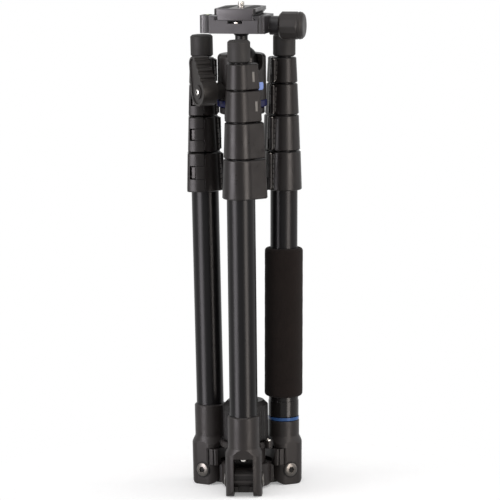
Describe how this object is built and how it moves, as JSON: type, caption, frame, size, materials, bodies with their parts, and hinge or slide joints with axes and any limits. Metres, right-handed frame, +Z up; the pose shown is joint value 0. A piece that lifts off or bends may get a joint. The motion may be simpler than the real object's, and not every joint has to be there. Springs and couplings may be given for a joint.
{
  "type": "travel tripod",
  "caption": "Folded travel tripod with flip-lock legs, a foam-gripped detachable leg, a twist-lock column and a ball head with a quick-release plate.",
  "frame": {"origin": "on the centre column's axis, at the mouth of the hook socket in its lower end, in the plane that the folded tripod stands on", "axes": "+Z up along the column towards the camera, -Y towards the front leg, +X to the right seen from the front"},
  "size_m": [0.1122, 0.1019, 0.4477],
  "materials": {
    "cast_alloy": "satin dark grey coating on a light alloy casting",
    "black_tube": "gloss black anodised tube",
    "lock_black": "satin black",
    "bonded_section": "gloss black anodised tube with a satin black lock bonded on",
    "foot_rubber": "matt dark grey rubber",
    "steel": "bright turned steel",
    "foam": "matt near-black closed-cell foam",
    "blue_trim": "blue anodised",
    "navy_ring": "dark navy anodised",
    "head_grey": "satin dark grey coating",
    "ball_metal": "fine turned dark anodised ball",
    "clamp_grey": "satin mid-grey anodised",
    "knob_rubber": "matt dark grey knob cover",
    "level": "clear green spirit level"
  },
  "bodies": {
    "hub": {"hub": "cast_alloy", "pivot_bolts": "steel"},
    "front_leg": {"front_yoke": "cast_alloy", "front_tube_1": "black_tube", "front_lock_1": "lock_black"},
    "front_angle_stop": {"front_angle_stop": "cast_alloy"},
    "front_lever_1": {"front_lever_1": "lock_black"},
    "front_section_2": {"front_tube_2": "black_tube", "front_lock_2": "lock_black"},
    "front_lever_2": {"front_lever_2": "lock_black"},
    "front_section_3": {"front_section_3": "bonded_section"},
    "front_lever_3": {"front_lever_3": "lock_black"},
    "front_section_4": {"front_section_4": "bonded_section"},
    "front_lever_4": {"front_lever_4": "lock_black"},
    "front_section_5": {"front_tube_5": "black_tube", "front_foot": "foot_rubber"},
    "right_leg": {"right_yoke": "cast_alloy", "right_tube_1": "black_tube", "right_lock_1": "lock_black", "grip_foam": "foam", "grip_ring": "blue_trim"},
    "right_angle_stop": {"right_angle_stop": "cast_alloy"},
    "right_lever_1": {"right_lever_1": "lock_black"},
    "right_section_2": {"right_tube_2": "black_tube", "right_lock_2": "lock_black"},
    "right_lever_2": {"right_lever_2": "lock_black"},
    "right_section_3": {"right_section_3": "bonded_section"},
    "right_lever_3": {"right_lever_3": "lock_black"},
    "right_section_4": {"right_section_4": "bonded_section"},
    "right_lever_4": {"right_lever_4": "lock_black"},
    "right_section_5": {"right_tube_5": "black_tube", "right_foot": "foot_rubber"},
    "left_leg": {"left_yoke": "cast_alloy", "left_tube_1": "black_tube", "left_lock_1": "lock_black"},
    "left_angle_stop": {"left_angle_stop": "cast_alloy"},
    "left_lever_1": {"left_lever_1": "lock_black"},
    "left_section_2": {"left_tube_2": "black_tube", "left_lock_2": "lock_black"},
    "left_lever_2": {"left_lever_2": "lock_black"},
    "left_section_3": {"left_section_3": "bonded_section"},
    "left_lever_3": {"left_lever_3": "lock_black"},
    "left_section_4": {"left_section_4": "bonded_section"},
    "left_lever_4": {"left_lever_4": "lock_black"},
    "left_section_5": {"left_tube_5": "black_tube", "left_foot": "foot_rubber"},
    "column": {"column": "black_tube", "pan_base": "head_grey"},
    "column_lock": {"column_lock": "cast_alloy"},
    "head": {"pan_ring": "navy_ring", "head_body": "head_grey"},
    "ball_lock_knob": {"ball_lock_knob": "knob_rubber"},
    "clamp": {"ball": "ball_metal", "clamp_base": "clamp_grey", "bubble_level": "level"},
    "clamp_jaw": {"clamp_jaw": "clamp_grey"},
    "clamp_knob": {"clamp_knob": "knob_rubber"},
    "camera_plate": {"camera_plate": "clamp_grey"},
    "camera_screw": {"camera_screw": "steel"},
    "grip_collar": {"grip_collar": "cast_alloy"}
  },
  "joints": [
    {"name": "front_leg_fold", "type": "hinge", "parent": "hub", "child": "front_leg", "pos_m": [0, -0.0375, 0.014], "axis": [1, 0, 0], "range_deg": [0, 180]},
    {"name": "front_stop_slide", "type": "slide", "parent": "front_leg", "child": "front_angle_stop", "axis": [0, 0.9999, 0.0131], "range_m": [0, 0.003], "stiffness_N_per_m": 400},
    {"name": "front_lever_1_turn", "type": "hinge", "parent": "front_leg", "child": "front_lever_1", "pos_m": [-0.00369, -0.02615, 0.29142], "axis": [0, -0.0131, 0.9999], "range_deg": [0, 56]},
    {"name": "front_section_2_slide", "type": "slide", "parent": "front_leg", "child": "front_section_2", "axis": [0, -0.0131, 0.9999], "range_m": [0, 0.21]},
    {"name": "front_lever_2_turn", "type": "hinge", "parent": "front_section_2", "child": "front_lever_2", "pos_m": [-0.00331, -0.02826, 0.32615], "axis": [0, -0.0131, 0.9999], "range_deg": [0, 52]},
    {"name": "front_section_3_slide", "type": "slide", "parent": "front_section_2", "child": "front_section_3", "axis": [0, -0.0131, 0.9999], "range_m": [0, 0.21]},
    {"name": "front_lever_3_turn", "type": "hinge", "parent": "front_section_3", "child": "front_lever_3", "pos_m": [-0.00301, -0.02993, 0.35713], "axis": [0, -0.0131, 0.9999], "range_deg": [0, 31]},
    {"name": "front_section_4_slide", "type": "slide", "parent": "front_section_3", "child": "front_section_4", "axis": [0, -0.0131, 0.9999], "range_m": [0, 0.21]},
    {"name": "front_lever_4_turn", "type": "hinge", "parent": "front_section_4", "child": "front_lever_4", "pos_m": [-0.00273, -0.0315, 0.38361], "axis": [0, -0.0131, 0.9999], "range_deg": [0, 36]},
    {"name": "front_section_5_slide", "type": "slide", "parent": "front_section_4", "child": "front_section_5", "axis": [0, -0.0131, 0.9999], "range_m": [0, 0.21]},
    {"name": "right_leg_fold", "type": "hinge", "parent": "hub", "child": "right_leg", "pos_m": [0.03248, 0.01875, 0.014], "axis": [-0.5, 0.866, 0], "range_deg": [0, 180]},
    {"name": "right_stop_slide", "type": "slide", "parent": "right_leg", "child": "right_angle_stop", "axis": [-0.866, -0.5, 0.0131], "range_m": [0, 0.003], "stiffness_N_per_m": 400},
    {"name": "right_lever_1_turn", "type": "hinge", "parent": "right_leg", "child": "right_lever_1", "pos_m": [0.02449, 0.00988, 0.29142], "axis": [0.0113, 0.0065, 0.9999], "range_deg": [0, 56]},
    {"name": "right_section_2_slide", "type": "slide", "parent": "right_leg", "child": "right_section_2", "axis": [0.0113, 0.0065, 0.9999], "range_m": [0, 0.21]},
    {"name": "right_lever_2_turn", "type": "hinge", "parent": "right_section_2", "child": "right_lever_2", "pos_m": [0.02613, 0.01127, 0.32615], "axis": [0.0113, 0.0065, 0.9999], "range_deg": [0, 52]},
    {"name": "right_section_3_slide", "type": "slide", "parent": "right_section_2", "child": "right_section_3", "axis": [0.0113, 0.0065, 0.9999], "range_m": [0, 0.21]},
    {"name": "right_lever_3_turn", "type": "hinge", "parent": "right_section_3", "child": "right_lever_3", "pos_m": [0.02743, 0.01236, 0.35713], "axis": [0.0113, 0.0065, 0.9999], "range_deg": [0, 31]},
    {"name": "right_section_4_slide", "type": "slide", "parent": "right_section_3", "child": "right_section_4", "axis": [0.0113, 0.0065, 0.9999], "range_m": [0, 0.21]},
    {"name": "right_lever_4_turn", "type": "hinge", "parent": "right_section_4", "child": "right_lever_4", "pos_m": [0.02865, 0.01338, 0.38361], "axis": [0.0113, 0.0065, 0.9999], "range_deg": [0, 36]},
    {"name": "right_section_5_slide", "type": "slide", "parent": "right_section_4", "child": "right_section_5", "axis": [0.0113, 0.0065, 0.9999], "range_m": [0, 0.21]},
    {"name": "left_leg_fold", "type": "hinge", "parent": "hub", "child": "left_leg", "pos_m": [-0.03248, 0.01875, 0.014], "axis": [-0.5, -0.866, 0], "range_deg": [0, 180]},
    {"name": "left_stop_slide", "type": "slide", "parent": "left_leg", "child": "left_angle_stop", "axis": [0.866, -0.5, 0.0131], "range_m": [0, 0.003], "stiffness_N_per_m": 400},
    {"name": "left_lever_1_turn", "type": "hinge", "parent": "left_leg", "child": "left_lever_1", "pos_m": [-0.0208, 0.01627, 0.29142], "axis": [-0.0113, 0.0065, 0.9999], "range_deg": [0, 56]},
    {"name": "left_section_2_slide", "type": "slide", "parent": "left_leg", "child": "left_section_2", "axis": [-0.0113, 0.0065, 0.9999], "range_m": [0, 0.21]},
    {"name": "left_lever_2_turn", "type": "hinge", "parent": "left_section_2", "child": "left_lever_2", "pos_m": [-0.02282, 0.01699, 0.32615], "axis": [-0.0113, 0.0065, 0.9999], "range_deg": [0, 52]},
    {"name": "left_section_3_slide", "type": "slide", "parent": "left_section_2", "child": "left_section_3", "axis": [-0.0113, 0.0065, 0.9999], "range_m": [0, 0.21]},
    {"name": "left_lever_3_turn", "type": "hinge", "parent": "left_section_3", "child": "left_lever_3", "pos_m": [-0.02442, 0.01758, 0.35713], "axis": [-0.0113, 0.0065, 0.9999], "range_deg": [0, 31]},
    {"name": "left_section_4_slide", "type": "slide", "parent": "left_section_3", "child": "left_section_4", "axis": [-0.0113, 0.0065, 0.9999], "range_m": [0, 0.21]},
    {"name": "left_lever_4_turn", "type": "hinge", "parent": "left_section_4", "child": "left_lever_4", "pos_m": [-0.02591, 0.01812, 0.38361], "axis": [-0.0113, 0.0065, 0.9999], "range_deg": [0, 36]},
    {"name": "left_section_5_slide", "type": "slide", "parent": "left_section_4", "child": "left_section_5", "axis": [-0.0113, 0.0065, 0.9999], "range_m": [0, 0.21]},
    {"name": "column_slide", "type": "slide", "parent": "hub", "child": "column", "axis": [0, 0, 1], "range_m": [0, 0.03]},
    {"name": "column_lock_turn", "type": "hinge", "parent": "hub", "child": "column_lock", "pos_m": [0, 0, 0.0439], "axis": [0, 0, 1], "range_deg": [0, 90]},
    {"name": "head_pan", "type": "hinge", "parent": "column", "child": "head", "pos_m": [0, 0, 0.3525], "axis": [0, 0, 1], "range_deg": [-12, 14]},
    {"name": "ball_lock_turn", "type": "hinge", "parent": "head", "child": "ball_lock_knob", "pos_m": [-0.03909, -0.02349, 0.3674], "axis": [-0.8572, -0.515, 0], "range_deg": [-70, 18]},
    {"name": "ball_tilt", "type": "hinge", "parent": "head", "child": "clamp", "pos_m": [0, 0, 0.393], "axis": [0.9826, -0.1857, 0], "range_deg": [-12, 12]},
    {"name": "clamp_jaw_slide", "type": "slide", "parent": "clamp", "child": "clamp_jaw", "axis": [0.9826, -0.1857, 0], "range_m": [0, 0.0025]},
    {"name": "clamp_knob_turn", "type": "hinge", "parent": "clamp_jaw", "child": "clamp_knob", "pos_m": [0.03528, -0.00667, 0.426], "axis": [0.9826, -0.1857, 0], "range_deg": [0, 720]},
    {"name": "plate_slide", "type": "slide", "parent": "clamp", "child": "camera_plate", "axis": [0.1857, 0.9826, 0], "range_m": [-0.008, 0.008]},
    {"name": "camera_screw_turn", "type": "hinge", "parent": "camera_plate", "child": "camera_screw", "pos_m": [0, 0, 0.432], "axis": [0, 0, 1], "continuous": true},
    {"name": "grip_collar_turn", "type": "hinge", "parent": "right_leg", "child": "grip_collar", "pos_m": [0.03389, 0.01957, 0.06228], "axis": [0.0113, 0.0065, 0.9999], "continuous": true}
  ],
  "couplings": [
    {"joint": "clamp_knob_turn", "follows": "clamp_jaw_slide", "rad_per_m": 5026.5}
  ]
}
